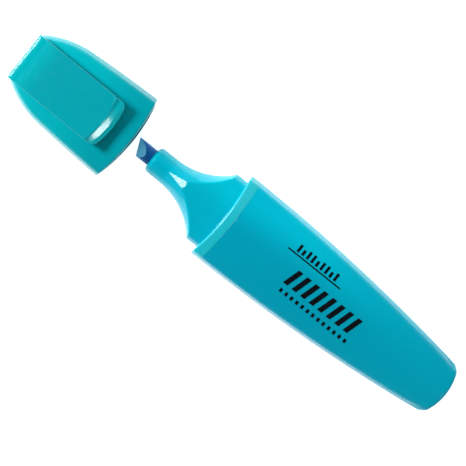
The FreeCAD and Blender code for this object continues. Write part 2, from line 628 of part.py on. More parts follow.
def cap_stations(end):
    """Nine places at even steps, from behind the cap's mouth to an expression for the end."""
    start = -2.0
    return [f"({start} + {step / 8} * ({end} - ({start})))" for step in range(9)]


def cap_shell():
    """The cap: a hollow shell with seat ribs, a socket for the inner cap and a pad that carries the clip."""
    body = new_body("cap_shell")
    loft(body, "outer_form", cap_sections(body, "outside", cap_stations("dims.cap_length"), "0"))
    body.Tip = bow_trim(body, "mouth", "-dims.parting_front + dims.cap_gap", "dims.parting_radius", -1)
    fillet(body, "mouth_edge", "dims.edge_round", lambda box: box.XMax < MOUTH_ZONE)

    sketch = new_sketch(body, "clip_pad_outline", "XZ_Plane")
    pad_top = "dims.hinge_height + dims.clip_thickness / 2"
    end = "dims.cap_length"
    pad_root = "dims.pad_root"
    outline(sketch, [(HINGE_X, pad_root), (end, pad_root), (end, pad_top), (HINGE_X, pad_top)])
    pad(body, "clip_pad", sketch, "2 * dims.clip_half_width", symmetric=True)
    socket = new_sketch(body, "clip_socket_outline", "XZ_Plane")
    socket_ring(socket, "dims.clip_thickness / 2 + dims.hinge_play")
    pocket(body, "clip_socket", socket, "4 * dims.clip_half_width", symmetric=True)

    stations = cap_stations("(dims.cap_length - dims.cap_floor)")
    loft(body, "cavity", cap_sections(body, "inside", stations, "dims.cap_wall"), cut=True)
    inner_cap_socket(body)
    seat_ribs(body)
    return body


def socket_ring(sketch, radius):
    """A circle about the clip's root, in the side plane."""
    centre = Vector(evaluate(HINGE_X), evaluate("dims.hinge_height"), 0)
    sketch.addGeometry(Part.Circle(centre, Vector(0, 0, 1), evaluate(radius)))
    pin_point(sketch, 0, 3, "c", (HINGE_X, "dims.hinge_height"))
    index = sketch.addConstraint(Sketcher.Constraint("Radius", 0, evaluate(radius)))
    sketch.renameConstraint(index, "r")
    sketch.setExpression("Constraints.r", radius)


def inner_cap_socket(body):
    """A ring on the inside of the cap's end that the inner cap is pressed into."""
    bore = "dims.seal_nib_radius + dims.seal_wall + dims.spigot_play"
    floor = "(dims.cap_length - dims.cap_floor)"
    sketch = ring(new_sketch(body, "socket_ring", "YZ_Plane", "dims.spigot_front"), "dims.axis_height",
                  f"{bore} + dims.spigot_wall")
    pad(body, "inner_cap_socket", sketch, f"{floor} + dims.overlap / 2 - dims.spigot_front")
    sketch = ring(new_sketch(body, "socket_bore", "YZ_Plane", "dims.spigot_front - dims.overlap"),
                  "dims.axis_height", bore)
    pocket(body, "inner_cap_bore", sketch,
           "dims.seal_end + dims.spigot_play - dims.spigot_front + dims.overlap")


def seat_ribs(body):
    """Four short ribs inside the mouth that grip the collar, two under the top and two on the belly."""
    inset = "dims.collar_inset"
    half = f"(dims.rim_half_width - {inset})"
    height = f"(dims.rim_height - 2 * {inset})"
    top_radius = arch_radius(f"{half} - dims.corner_inset", f"{height} * (1 - dims.corner_ratio)")
    belly_radius = arch_radius(half, f"{height} * dims.widest_ratio")
    # A rib's inner corner is the first to meet the collar, so the height of its edge is taken there.
    near = "(dims.seat_rib_offset - dims.seat_rib_width / 2)"
    top_edge = (f"(dims.rim_height - {inset} - {top_radius} + sqrt({top_radius}^2 - {near}^2)"
                f" + dims.seat_rib_gap)")
    belly_edge = f"({inset} + {belly_radius} - sqrt({belly_radius}^2 - {near}^2) - dims.seat_rib_gap)"
    start = "dims.seat_rib_start"
    end = "dims.seat_rib_end"
    ribs = ((1, top_edge, "dims.seat_rib_top"), (-1, top_edge, "dims.seat_rib_top"),
            (1, "dims.seat_rib_base", belly_edge), (-1, "dims.seat_rib_base", belly_edge))
    for number, (side, low, high) in enumerate(ribs):
        sketch = new_sketch(body, f"seat_rib_{number}_outline", "XZ_Plane",
                            f"({-side}) * dims.seat_rib_offset")
        outline(sketch, [(start, low), (end, low), (end, high), (start, high)])
        body.Tip = pad(body, f"seat_rib_{number}", sketch, "dims.seat_rib_width", symmetric=True)


def inner_cap():
    """The sealing cup: it closes round the snout, then steps down round the nib."""
    body = new_body("inner_cap")
    snout_bore = "(dims.snout_radius + dims.seal_play)"
    axis = "dims.axis_height"
    shoulder = "dims.seal_step + dims.seal_wall"
    steps = [("dims.seal_front", f"{axis} + {snout_bore} + dims.seal_chamfer"),
             ("dims.seal_front", f"{axis} + {snout_bore} + dims.seal_wall"),
             (shoulder, f"{axis} + {snout_bore} + dims.seal_wall"),
             (f"{shoulder} + dims.seal_wall", f"{axis} + dims.seal_nib_radius + dims.seal_wall"),
             ("dims.seal_end", f"{axis} + dims.seal_nib_radius + dims.seal_wall"),
             ("dims.seal_end", axis),
             ("dims.seal_end - dims.seal_floor", axis),
             ("dims.seal_end - dims.seal_floor", f"{axis} + dims.seal_nib_radius"),
             ("dims.seal_step", f"{axis} + dims.seal_nib_radius"),
             ("dims.seal_step", f"{axis} + {snout_bore}"),
             ("dims.seal_front + dims.seal_chamfer", f"{axis} + {snout_bore}")]
    sketch = new_sketch(body, "profile", "XZ_Plane")
    outline(sketch, steps)
    line = [Vector(evaluate(place), evaluate(axis), 0) for place in ("dims.seal_front", "dims.seal_end")]
    guide = sketch.addGeometry(Part.LineSegment(*line), True)
    pin_point(sketch, guide, 1, "guide_start_", ("dims.seal_front", axis))
    pin_point(sketch, guide, 2, "guide_end_", ("dims.seal_end", axis))
    feature = body.newObject("PartDesign::Revolution", "cup")
    feature.Profile = sketch
    feature.ReferenceAxis = (sketch, ["Axis0"])
    feature.Angle = 360
    body.Tip = feature
    return body


def cap_clip():
    """The pocket clip: a broad tongue that springs about its root on the cap's end."""
    body = new_body("cap_clip")
    radius = "(dims.clip_thickness / 2)"
    slope_run = f"({HINGE_X} - dims.clip_free_end)"
    end_low = "(dims.rim_height + dims.clip_rise)"
    end_top = f"({end_low} + dims.clip_thickness)"
    root_low = f"(dims.hinge_height - {radius})"
    root_top = f"(dims.hinge_height + {radius})"
    lip_x = "(dims.clip_free_end + dims.clip_lip)"
    bevel_x = f"({lip_x} + dims.clip_bevel)"
    slope = f"(({end_top} - {root_top}) / {slope_run})"
    bevel_top = f"({root_top} + {slope} * ({HINGE_X} - {bevel_x}))"
    corners = [(HINGE_X, root_low), (HINGE_X, root_top), (bevel_x, bevel_top),
               (lip_x, f"{bevel_top} + {slope} * dims.clip_bevel - dims.clip_bevel_drop"),
               ("dims.clip_free_end", f"{end_low} + dims.clip_lip_height"),
               ("dims.clip_free_end + dims.clip_lip_under", end_low)]
    sketch = new_sketch(body, "side_outline", "XZ_Plane")
    outline(sketch, corners, {0: (radius, 1)})
    pad(body, "tongue", sketch, "2 * dims.clip_half_width", symmetric=True)
    free_end_trim(body)
    return body


def free_end_trim(body):
    """Bow the clip's free end in plan and round its corners."""
    # Each corner arc touches the clip's side and the end arc from inside.
    end_centre = "(dims.clip_free_end + dims.clip_end_radius)"
    gap = "(dims.clip_end_radius - dims.clip_corner)"
    centre_y = "(dims.clip_half_width - dims.clip_corner)"
    along = f"sqrt({gap}^2 - {centre_y}^2)"
    centre_x = f"({end_centre} - {along})"
    end_touch_x = f"({end_centre} - {along} * dims.clip_end_radius / {gap})"
    end_touch_y = f"({centre_y} * dims.clip_end_radius / {gap})"
    far = f"(dims.clip_free_end - {FAR})"
    for side in (1, -1):
        reach = f"({side}) * {SIDE_REACH}"
        corners = [(centre_x, f"({side}) * dims.clip_half_width"), (end_touch_x, f"({side}) * {end_touch_y}"),
                   ("dims.clip_free_end", "0"), (far, "0"), (far, reach), (centre_x, reach)]
        name = "free_end_left" if side > 0 else "free_end_right"
        sketch = new_sketch(body, name + "_outline", "XY_Plane")
        outline(sketch, corners, {0: ("dims.clip_corner", side), 1: ("dims.clip_end_radius", side)})
        body.Tip = trim(body, name, sketch)


# ---- assembly -------------------------------------------------------------------------------------------

PEN_PARTS = [barrel(), nose_section(), nib(), reservoir_core(), reservoir_wrap()]
CAP_PARTS = [cap_shell(), inner_cap(), cap_clip()]
MIDDLE = "(dims.cap_length + dims.cap_travel - dims.barrel_length) / 2"

for part in PEN_PARTS:
    part.setExpression("Placement.Base.x", f"-{MIDDLE}")
for part in CAP_PARTS:
    part.setExpression("Placement.Base.x", f"dims.cap_travel - {MIDDLE}")
doc.recompute()

for item in doc.Objects:
    if "Invalid" in item.State or "Error" in item.State:
        raise RuntimeError(f"{item.Label} failed: {item.State}")

os.makedirs("parts", exist_ok=True)
for part in PEN_PARTS + CAP_PARTS:
    shape = part.Shape
    if shape.isNull() or not shape.isValid() or len(shape.Solids) != 1:
        raise RuntimeError(f"{part.Label} is not one valid solid")
    shape.exportStep(f"parts/{part.Label}.step")
    box = shape.BoundBox
    print(f"{part.Label}: {shape.Volume:.1f} mm3, x {box.XMin:.2f}..{box.XMax:.2f},"
          f" y {box.YMin:.2f}..{box.YMax:.2f}, z {box.ZMin:.2f}..{box.ZMax:.2f}")
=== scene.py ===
"""A flat chisel-tip highlighter with its clip cap pulled off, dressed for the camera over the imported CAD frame.

Lengths are in millimetres until Skin.build() turns them into metres. The pen and the cap each have their own x, which
is 0 at the line where they meet when the cap is on. Sections are written for the right half and mirrored.
"""

import math

import bmesh
import bpy
import numpy as np
from mathutils import Matrix, Vector

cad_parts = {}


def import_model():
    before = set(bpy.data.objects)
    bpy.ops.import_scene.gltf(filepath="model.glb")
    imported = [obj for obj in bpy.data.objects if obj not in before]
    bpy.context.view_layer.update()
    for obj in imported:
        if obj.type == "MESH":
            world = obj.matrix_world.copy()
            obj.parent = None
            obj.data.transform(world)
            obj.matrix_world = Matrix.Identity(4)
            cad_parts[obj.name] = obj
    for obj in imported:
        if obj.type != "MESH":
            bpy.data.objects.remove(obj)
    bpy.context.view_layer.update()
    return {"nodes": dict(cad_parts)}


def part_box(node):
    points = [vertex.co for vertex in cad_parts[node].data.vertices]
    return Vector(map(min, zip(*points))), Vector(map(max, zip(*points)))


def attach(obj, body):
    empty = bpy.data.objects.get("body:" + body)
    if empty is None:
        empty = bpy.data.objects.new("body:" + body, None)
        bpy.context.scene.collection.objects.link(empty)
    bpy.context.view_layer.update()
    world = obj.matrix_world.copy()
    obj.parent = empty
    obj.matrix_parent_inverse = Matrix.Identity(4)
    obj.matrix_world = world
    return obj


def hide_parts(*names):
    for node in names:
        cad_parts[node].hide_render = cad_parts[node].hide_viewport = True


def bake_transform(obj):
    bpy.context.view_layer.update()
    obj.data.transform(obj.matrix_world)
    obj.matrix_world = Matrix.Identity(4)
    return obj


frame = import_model()

MM = 0.001
BARREL_LENGTH = 80.1
CAP_LENGTH = 37.9
PEN_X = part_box("barrel")[0].x / MM + BARREL_LENGTH
CAP_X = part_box("cap_shell")[1].x / MM - CAP_LENGTH
RIM_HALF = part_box("barrel")[1].y / MM
RIM_HEIGHT = 16.7
AXIS = 8.85

# A section's corner is FACET in from its side. The corner and the widest line are at these shares of the height.
FACET = 1.14
CORNER_RATIO = 0.854
WIDEST_RATIO = 0.631
CORNER_ROUND = 0.8
SIDE_ROUND = 0.4
TOP_POINTS = 9
SHOULDER_POINTS = 5


# ---------------------------------------------------------------- sections

def column(values):
    """A number or a list of numbers as a column, so that one call can work out many sections."""
    return np.atleast_1d(np.asarray(values, float))[:, None]


def bend(start, corner, end, shares):
    """Points along the curve that rounds a corner off."""
    s = np.asarray(shares, float)[None, :, None]
    return (1 - s) ** 2 * start[:, None] + 2 * s * (1 - s) * corner[:, None] + s ** 2 * end[:, None]


def pair(y, z):
    """Points (y, z), one for each y and z."""
    return np.stack(np.broadcast_arrays(y, z), axis=-1)


def crown(y, flat, rise, top):
    """Height of the top's arc at y. It is top in the middle and falls by rise at flat."""
    radius = (flat ** 2 + rise ** 2) / (2 * rise)
    return top - radius + np.sqrt(np.maximum(radius ** 2 - y ** 2, 0))


def side_arc(start, end, bulge, shares):
    """Points from start to end on an arc whose rise is bulge times the chord, bowed outwards."""
    chord = end - start
    length = np.linalg.norm(chord, axis=1, keepdims=True)
    radius = length * (0.125 / bulge + bulge / 2)
    half_turn = 2 * np.arctan(2 * bulge)
    along = chord / length
    out = np.stack([-along[:, 1], along[:, 0]], axis=-1)
    angle = (2 * shares - 1) * half_turn
    x = radius * np.sin(angle)
    y = radius * (np.cos(angle) - np.cos(half_turn))
    middle = (start + end)[:, None] / 2
    return middle + along[:, None] * x[..., None] + out[:, None] * y[..., None]


def half_ring(flat, flat_z, top, half, widest, base, bulge, corner_round, side_round):
    """The right half of a section: its upper points from the widest line to the top's middle, and its lower points
    from the widest line to the belly's middle. Both lists are as long as each other."""
    flat, flat_z, top, half, widest, base, bulge = np.broadcast_arrays(
        *(column(v) for v in (flat, flat_z, top, half, widest, base, bulge)))
    rise = np.maximum(top - flat_z, 1e-3)
    bulge = np.maximum(bulge, 1e-3)

    # The side, an arc from the corner down to the widest line.
    corner = pair(flat, flat_z)[:, 0]
    side = pair(half, widest)[:, 0]
    chord = np.linalg.norm(side - corner, axis=1, keepdims=True)
    near, far = (np.minimum(length / chord, 0.35) for length in (corner_round, side_round))
    shoulder = side_arc(corner, side, bulge, near + (1 - far - near) * np.linspace(0, 1, SHOULDER_POINTS)[None, :])

    # The top, and the rounding between it and the side.
    pulled = flat - np.minimum(corner_round, flat * 0.5)
    corner_start = pair(pulled, crown(pulled, flat, rise, top))[:, 0]
    corner_bend = bend(corner_start, corner, shoulder[:, 0], [0, 0.25, 0.5, 0.75])
    across = pulled * np.linspace(0, 1, TOP_POINTS)[None, :-1]
    top_arc = pair(across, crown(across, flat, rise, top))

    # The belly, an arc from the widest line to the base, and the rounding of the widest line.
    depth = widest - base
    belly_radius = (half ** 2 + depth ** 2) / (2 * depth)
    centre = base + belly_radius
    turn = np.arctan2(half, centre - widest)
    end_turn = turn - side_round / belly_radius
    side_end = pair(belly_radius * np.sin(end_turn), centre - belly_radius * np.cos(end_turn))[:, 0]
    rounded = bend(shoulder[:, -1], side, side_end, [0.2, 0.42, 0.58, 0.8])
    upper = np.concatenate([top_arc, corner_bend, shoulder, rounded[:, :2]], axis=1)

    # The belly's points lie under the upper ones where they can, so that straight strips can close a ring.
    inner = np.minimum(upper[:, :-2, 0], side_end[:, :1] * np.linspace(0, 1, upper.shape[1] - 2)[None, :] ** 0.8)
    inner = np.minimum(inner, side_end[:, :1])
    inner[:, -1] = side_end[:, 0]
    belly = pair(inner, centre - np.sqrt(np.maximum(belly_radius ** 2 - inner ** 2, 0)))
    lower = np.concatenate([belly, rounded[:, 3:1:-1]], axis=1)
    return upper[:, ::-1], lower[:, ::-1]


def body_half(half, base, top):
    """The flat-topped, round-bellied section that the barrel, flange, collar and cap share."""
    half, base, top = np.broadcast_arrays(*(np.asarray(v, float) for v in (half, base, top)))
    height = top - base
    return half_ring(half - FACET, base + CORNER_RATIO * height, top, half, base + WIDEST_RATIO * height, base,
                     0.0, CORNER_ROUND, SIDE_ROUND)


def full_ring(upper, lower):
    """A half section mirrored into a whole one: over the top from +y to -y, and back along the belly."""
    mirror = np.array([-1.0, 1.0])
    over = np.concatenate([upper, upper[:, -2::-1] * mirror], axis=1)
    under = np.concatenate([lower * mirror, lower[:, -2::-1]], axis=1)
    return np.concatenate([over, under], axis=1)


def whole(half, base, top):
    """One whole section as an array of (y, z)."""
    return full_ring(*body_half([half], [base], [top]))[0]


RING_POINTS = len(whole(10, 0, 10))


def ring_at(shape, x):
    """A ring as (y, z), where each point has an x of its own. shape(x) gives the half width, base and top there."""
    rings = full_ring(*body_half(*shape(x)))
    rows = np.arange(len(rings))
    return rings[rows, rows]


def follow(shape, plan):
    """A ring whose x follows plan(y). A few rounds settle the two on each other."""
    x = np.full(RING_POINTS, float(plan(np.zeros(1))[0]))
    for _ in range(6):
        points = ring_at(shape, x)
        x = plan(points[:, 0])
    return np.column_stack([x, points])


def flat_ring(x, points):
    return np.column_stack([np.full(len(points), float(x)), points])


def flat_section(shape, x, inset):
    """A ring straight across a body at x, moved inwards by inset."""
    return flat_ring(x, whole(*(float(v) for v in shape(np.float64(x), inset))))


def arc_rise(radius, y):
    """How far an arc of this radius has risen at y."""
    return radius - np.sqrt(radius ** 2 - np.minimum(np.abs(y), radius) ** 2)


def quarter_turn(steps):
    """Evenly spaced angles from 0 to a right angle, for rounding an edge."""
    return np.linspace(0, math.pi / 2, steps)


# ---------------------------------------------------------------- meshes

class Skin:
    """Points and faces of one piece, gathered ring by ring."""

    def __init__(self):
        self.points = []
        self.faces = []
        self.second = set()

    def ring(self, points):
        start = len(self.points)
        self.points.extend([tuple(p) for p in points])
        return list(range(start, start + len(points)))

    def bridge(self, first, second):
        for i in range(len(first)):
            j = (i + 1) % len(first)
            self.faces.append((first[i], first[j], second[j], second[i]))

    def tube(self, rings):
        made = [self.ring(r) for r in rings]
        for a, b in zip(made, made[1:]):
            self.bridge(a, b)
        return made

    def shut(self, ring, flip=False):
        """Closes a ring with strips between its upper and lower points."""
        half = len(ring) // 2
        over, under = ring[:half], ring[half:][::-1]
        for i in range(half - 1):
            face = (over[i], over[i + 1], under[i + 1], under[i])
            self.faces.append(face[::-1] if flip else face)

    def slab(self, grid_top, grid_bottom):
        """A thin closed piece between two grids of the same shape."""
        rows, columns = len(grid_top), len(grid_top[0])
        top = [self.ring(row) for row in grid_top]
        bottom = [self.ring(row) for row in grid_bottom]
        for i in range(rows - 1):
            for j in range(columns - 1):
                self.faces.append((top[i][j], top[i][j + 1], top[i + 1][j + 1], top[i + 1][j]))
                self.faces.append((bottom[i][j], bottom[i + 1][j], bottom[i + 1][j + 1], bottom[i][j + 1]))
        edge = [(0, j) for j in range(columns)] + [(i, columns - 1) for i in range(1, rows)]
        edge += [(rows - 1, j) for j in range(columns - 2, -1, -1)] + [(i, 0) for i in range(rows - 2, 0, -1)]
        for (a, b), (c, d) in zip(edge, edge[1:] + edge[:1]):
            self.faces.append((top[a][b], bottom[a][b], bottom[c][d], top[c][d]))

    def build(self, name, shift, material, merge=2e-6, weighted=True, second=None):
        """Turns the skin into an object. The faces in self.second take the second material."""
        mesh = bpy.data.meshes.new(name)
        points = (np.array(self.points) + np.array([shift, 0, 0])) * MM
        mesh.from_pydata(points.tolist(), [], self.faces)
        mesh.materials.append(material)
        if second:
            mesh.materials.append(second)
            for face in mesh.polygons:
                face.material_index = int(face.index in self.second)
        work = bmesh.new()
        work.from_mesh(mesh)
        bmesh.ops.remove_doubles(work, verts=work.verts, dist=merge)
        bmesh.ops.dissolve_degenerate(work, edges=work.edges, dist=merge / 2)
        bmesh.ops.recalc_face_normals(work, faces=work.faces)
        work.to_mesh(mesh)
        work.free()
        mesh.shade_smooth()
        piece = bpy.data.objects.new(name, mesh)
        bpy.context.scene.collection.objects.link(piece)
        if weighted:
            modifier = piece.modifiers.new("even_shading", "WEIGHTED_NORMAL")
            modifier.weight = 60
            modifier.keep_sharp = True
        return piece


# ---------------------------------------------------------------- materials

def node_material(name):
    material = bpy.data.materials.new(name)
    material.use_nodes = True
    tree = material.node_tree
    return material, tree, tree.nodes["Principled BSDF"]


def noise(tree, coordinates, scale, detail=3.0, stretch=(1, 1, 1)):
    """A noise whose scale is in cycles per metre, multiplied along each axis by stretch."""
    mapping = tree.nodes.new("ShaderNodeMapping")
    mapping.inputs["Scale"].default_value = stretch
    tree.links.new(coordinates, mapping.inputs["Vector"])
    texture = tree.nodes.new("ShaderNodeTexNoise")
    texture.inputs["Scale"].default_value = scale
    texture.inputs["Detail"].default_value = detail
    tree.links.new(mapping.outputs["Vector"], texture.inputs["Vector"])
    return texture.outputs["Fac"]


def spread(tree, value, low, high, from_low=0.3, from_high=0.7):
    """A value brought from one range to another."""
    node = tree.nodes.new("ShaderNodeMapRange")
    node.interpolation_type = "SMOOTHSTEP"
    tree.links.new(value, node.inputs["Value"])
    for socket, number in (("From Min", from_low), ("From Max", from_high), ("To Min", low), ("To Max", high)):
        node.inputs[socket].default_value = number
    return node.outputs["Result"]


def blend_colours(tree, amount, first, second):
    """A mix of two colours, each given as a plain colour or as another node's output. Sockets 6, 7 and 2 are the
    colour ones of a mix node."""
    node = tree.nodes.new("ShaderNodeMix")
    node.data_type = "RGBA"
    tree.links.new(amount, node.inputs["Factor"])
    for socket, value in ((node.inputs[6], first), (node.inputs[7], second)):
        if hasattr(value, "is_linked"):
            tree.links.new(value, socket)
        else:
            socket.default_value = (*value, 1)
    return node.outputs[2]


def grain_bump(tree, shader, height, strength, distance):
    bump = tree.nodes.new("ShaderNodeBump")
    bump.inputs["Strength"].default_value = strength
    bump.inputs["Distance"].default_value = distance
    tree.links.new(height, bump.inputs["Height"])
    tree.links.new(bump.outputs["Normal"], shader.inputs["Normal"])


def linear(red, green, blue):
    """A display colour, 0 to 255, as linear light."""
    return tuple((c / 255 / 12.92) if c / 255 <= 0.04045 else ((c / 255 + 0.055) / 1.055) ** 2.4
                 for c in (red, green, blue))


def moulded(name, colour, deep, side_shade=0.0, roughness=0.11, painted_bands=()):
    """Injection-moulded, slightly clear plastic: a fine satin skin and faint flow marks along the mould. Where asked,
    the tone deepens towards +y: partly the dark reservoir seen through the plastic, partly painted shade on that side.
    Bands along x hold painted light and painted shade: paler tones stand in for light that the lamps don't bring, and
    deeper tones on the flat ends and towards the barrel's tail stand in for shade. Each band holds the x where the
    change of tone starts, the x where it is full, and the tone there."""
    material, tree, shader = node_material(name)
    where = tree.nodes.new("ShaderNodeTexCoord").outputs["Object"]
    flow = noise(tree, where, 55, 2.0, (0.35, 1.6, 1.0))
    tone = blend_colours(tree, spread(tree, flow, 0.0, 0.35), colour, deep)
    split = tree.nodes.new("ShaderNodeSeparateXYZ")
    tree.links.new(where, split.inputs[0])
    # Painted shade: from y -11.5 mm to y 1 mm the tone deepens, and the whole +y side stays deep.
    if side_shade:
        side_shade_mask = spread(tree, split.outputs["Y"], 0.0, side_shade, -11.5 * MM, 1.0 * MM)
        tone = blend_colours(tree, side_shade_mask, tone, deep)
    # Painted light and painted shade, laid on in bands along x.
    for start, full, painted_tone in painted_bands:
        tone = blend_colours(tree, spread(tree, split.outputs["X"], 0.0, 1.0, start, full), tone, painted_tone)
    tree.links.new(tone, shader.inputs["Base Color"])
    satin = noise(tree, where, 900, 4.0)
    tree.links.new(spread(tree, satin, roughness - 0.03, roughness + 0.04), shader.inputs["Roughness"])
    grain_bump(tree, shader, noise(tree, where, 2600, 3.0), 0.05, 0.00004)
    shader.inputs["IOR"].default_value = 1.38
    shader.inputs["Subsurface Weight"].default_value = 0.1
    shader.inputs["Subsurface Radius"].default_value = (0.2, 1.0, 1.1)
    shader.inputs["Subsurface Scale"].default_value = 0.0015
    return material


def fibre(name, colour, deep, worn_and_lit=None, worn_and_lit_way=(0, 0, 1)):
    """Bonded fibre soaked with ink: streaks along the rod, a matt skin and a faint glow, partly the ink's fluorescence
    and partly painted light that lifts the fibre where shade falls on it. Faces that look along the given way take a
    paler tone, partly wear and partly painted light."""
    material, tree, shader = node_material(name)
    where = tree.nodes.new("ShaderNodeTexCoord").outputs["Object"]
    streaks = noise(tree, where, 2400, 3.0, (0.12, 1.0, 1.0))
    blotch = noise(tree, where, 420, 2.0)
    tone = blend_colours(tree, spread(tree, streaks, 0.0, 1.0), deep, colour)
    tone = blend_colours(tree, spread(tree, blotch, 0.0, 0.45), tone, deep)
    # Painted light, partly wear: the flat that looks along the given way is paler.
    if worn_and_lit:
        facing_it = tree.nodes.new("ShaderNodeVectorMath")
        facing_it.operation = "DOT_PRODUCT"
        facing_it.inputs[1].default_value = worn_and_lit_way
        tree.links.new(tree.nodes.new("ShaderNodeTexCoord").outputs["Normal"], facing_it.inputs[0])
        paler = blend_colours(tree, spread(tree, blotch, 0.0, 1.0), worn_and_lit, tuple(c * 0.9 for c in worn_and_lit))
        tone = blend_colours(tree, spread(tree, facing_it.outputs["Value"], 0.0, 1.0, 0.975, 0.995), tone, paler)
    tree.links.new(tone, shader.inputs["Base Color"])
    tree.links.new(spread(tree, streaks, 0.5, 0.75), shader.inputs["Roughness"])
    shader.inputs["IOR"].default_value = 1.3
    # Painted light: the fibre glows in its own tone, which lifts it where shade falls.
    tree.links.new(tone, shader.inputs["Emission Color"])
    shader.inputs["Emission Strength"].default_value = 0.18
    grain_bump(tree, shader, streaks, 0.35, 0.00008)
    return material


def ink(name):
    """Screen-printed ink: near black, slightly uneven, duller than the plastic under it."""
    material, tree, shader = node_material(name)
    where = tree.nodes.new("ShaderNodeTexCoord").outputs["Object"]
    patch = noise(tree, where, 1500, 3.0)
    tree.links.new(blend_colours(tree, spread(tree, patch, 0.0, 1.0), (0.001, 0.002, 0.004), (0.002, 0.004, 0.008)),
                   shader.inputs["Base Color"])
    tree.links.new(spread(tree, patch, 0.38, 0.55), shader.inputs["Roughness"])
    shader.inputs["IOR"].default_value = 1.2
    return material


def film(name):
    """The clear, milky film round the reservoir."""
    material, tree, shader = node_material(name)
    where = tree.nodes.new("ShaderNodeTexCoord").outputs["Object"]
    crease = noise(tree, where, 300, 3.0, (0.3, 1.0, 1.0))
    tree.links.new(blend_colours(tree, spread(tree, crease, 0.0, 1.0), (0.55, 0.72, 0.75), (0.72, 0.84, 0.86)),
                   shader.inputs["Base Color"])
    tree.links.new(spread(tree, crease, 0.12, 0.3), shader.inputs["Roughness"])
    return material


def light_and_shade_band(origin, start, full, *tone):
    """A band of painted light or painted shade for moulded, with x in millimetres from origin and the painted tone as
    a display colour.
    """
    return (origin + start) * MM, (origin + full) * MM, linear(*tone)


NIB_TILT = math.radians(36)
NIB_TURN = math.radians(24.6)
NIB_FLAT = (math.sin(NIB_TILT) * math.cos(NIB_TURN), math.sin(NIB_TILT) * math.sin(NIB_TURN), math.cos(NIB_TILT))

# Painted shade: the barrel darkens towards its tail, and the barrel, nose and flange darken on their +y side.
BARREL_PLASTIC = moulded("barrel_plastic", linear(0, 192, 216), linear(0, 156, 183), side_shade=0.9,
                         painted_bands=[light_and_shade_band(PEN_X, -25, -BARREL_LENGTH, 0, 170, 196)])
NOSE_PLASTIC = moulded("nose_plastic", linear(0, 198, 216), linear(0, 162, 188), side_shade=0.6)
FLANGE_PLASTIC = moulded("flange_plastic", linear(50, 194, 208), linear(20, 184, 200), side_shade=0.7, roughness=0.24)
# Painted light: the cap pales from 3 mm to 22 mm past its mouth. Painted shade: its flat end is deeper.
CAP_PLASTIC = moulded("cap_plastic", linear(0, 160, 173), linear(0, 150, 165),
                      painted_bands=[light_and_shade_band(CAP_X, 3, 22, 0, 174, 184), light_and_shade_band(CAP_X, 37.45, 37.85, 0, 134, 147)])
# Painted light: it pales towards the cap's end and on its bevel.
# Painted shade: the clip is one plastic with the cap but a touch darker, and its flat end is deeper.
CLIP_PLASTIC = moulded("clip_plastic", linear(0, 156, 168), linear(0, 147, 160),
                       painted_bands=[light_and_shade_band(CAP_X, 28, CAP_LENGTH, 0, 182, 190), light_and_shade_band(CAP_X, 9.6, 8.0, 0, 206, 216),
                             light_and_shade_band(CAP_X, 37.5, 37.85, 0, 134, 147)])
SEAL_PLASTIC = moulded("seal_plastic", linear(150, 214, 220), linear(120, 196, 206), roughness=0.3)
# Painted light, partly wear: the nib's flat is paler, and both fibres glow faintly.
NIB_FIBRE = fibre("nib_fibre", linear(0, 104, 172), linear(0, 80, 146), linear(116, 212, 255), NIB_FLAT)
CORE_FIBRE = fibre("core_fibre", linear(20, 160, 190), linear(4, 110, 150))
FILM = film("reservoir_film")
PRINT_INK = ink("print_ink")


# ---------------------------------------------------------------- barrel

# How much narrower each side is at the tail than at the mouth.
TAPER = 5.95
BARREL_WALL = 1.3
TAIL_RADIUS = 18.0
TAIL_CORNER = 4.0
TAIL_CENTRE = -BARREL_LENGTH + TAIL_RADIUS
TAIL_ROUND = 0.7
TAIL_REACH = 12.0


def barrel_shape(x, inset=0.0):
    """Half width, base and top of the barrel at x, moved inwards by inset."""
    half = RIM_HALF - TAPER * (x / BARREL_LENGTH) ** 2
    return half - inset, 0.0 * x + inset, RIM_HEIGHT * half / RIM_HALF - inset


def barrel_mouth(y):
    """x of the line where the barrel meets the flange, which bows back in the middle."""
    return -3.3 + arc_rise(110.0, y)


def tail_corner_centre():
    """The centre of the tail's rounded corner, which touches the side and the tail's arc from inside."""
    low, high = -BARREL_LENGTH, -BARREL_LENGTH + TAIL_REACH
    for _ in range(60):
        x = (low + high) / 2
        slope = -2 * TAPER * x / BARREL_LENGTH ** 2
        length = math.hypot(1, slope)
        centre = (x + TAIL_CORNER * slope / length, barrel_shape(x)[0] - TAIL_CORNER / length)
        if math.dist(centre, (TAIL_CENTRE, 0)) > TAIL_RADIUS - TAIL_CORNER:
            low = x
        else:
            high = x
    return centre


def tail_end():
    """For each point of a ring, the x and y where its line along the barrel meets the tail's outline, and the way out
    there."""
    cx, cy = tail_corner_centre()
    low = np.full(RING_POINTS, -BARREL_LENGTH - 1)
    high = np.full(RING_POINTS, -BARREL_LENGTH + TAIL_REACH)
    for _ in range(40):
        x = (low + high) / 2
        y = np.abs(ring_at(barrel_shape, x)[:, 0])
        in_round = np.hypot(x - cx, y - cy) <= TAIL_CORNER + 1e-4
        in_arc = np.hypot(x - TAIL_CENTRE, y) <= TAIL_RADIUS
        inside = np.where(y > cy, in_round, in_arc) | (x > cx)
        high = np.where(inside, x, high)
        low = np.where(inside, low, x)
    y = ring_at(barrel_shape, high)[:, 0]
    size = np.abs(y)
    in_corner = size > cy * TAIL_RADIUS / (TAIL_RADIUS - TAIL_CORNER)
    out_x = np.where(in_corner, high - cx, high - TAIL_CENTRE)
    out_y = np.where(in_corner, size - cy, size) * np.sign(y)
    length = np.hypot(out_x, out_y)
    return high, y, out_x / length, out_y / length


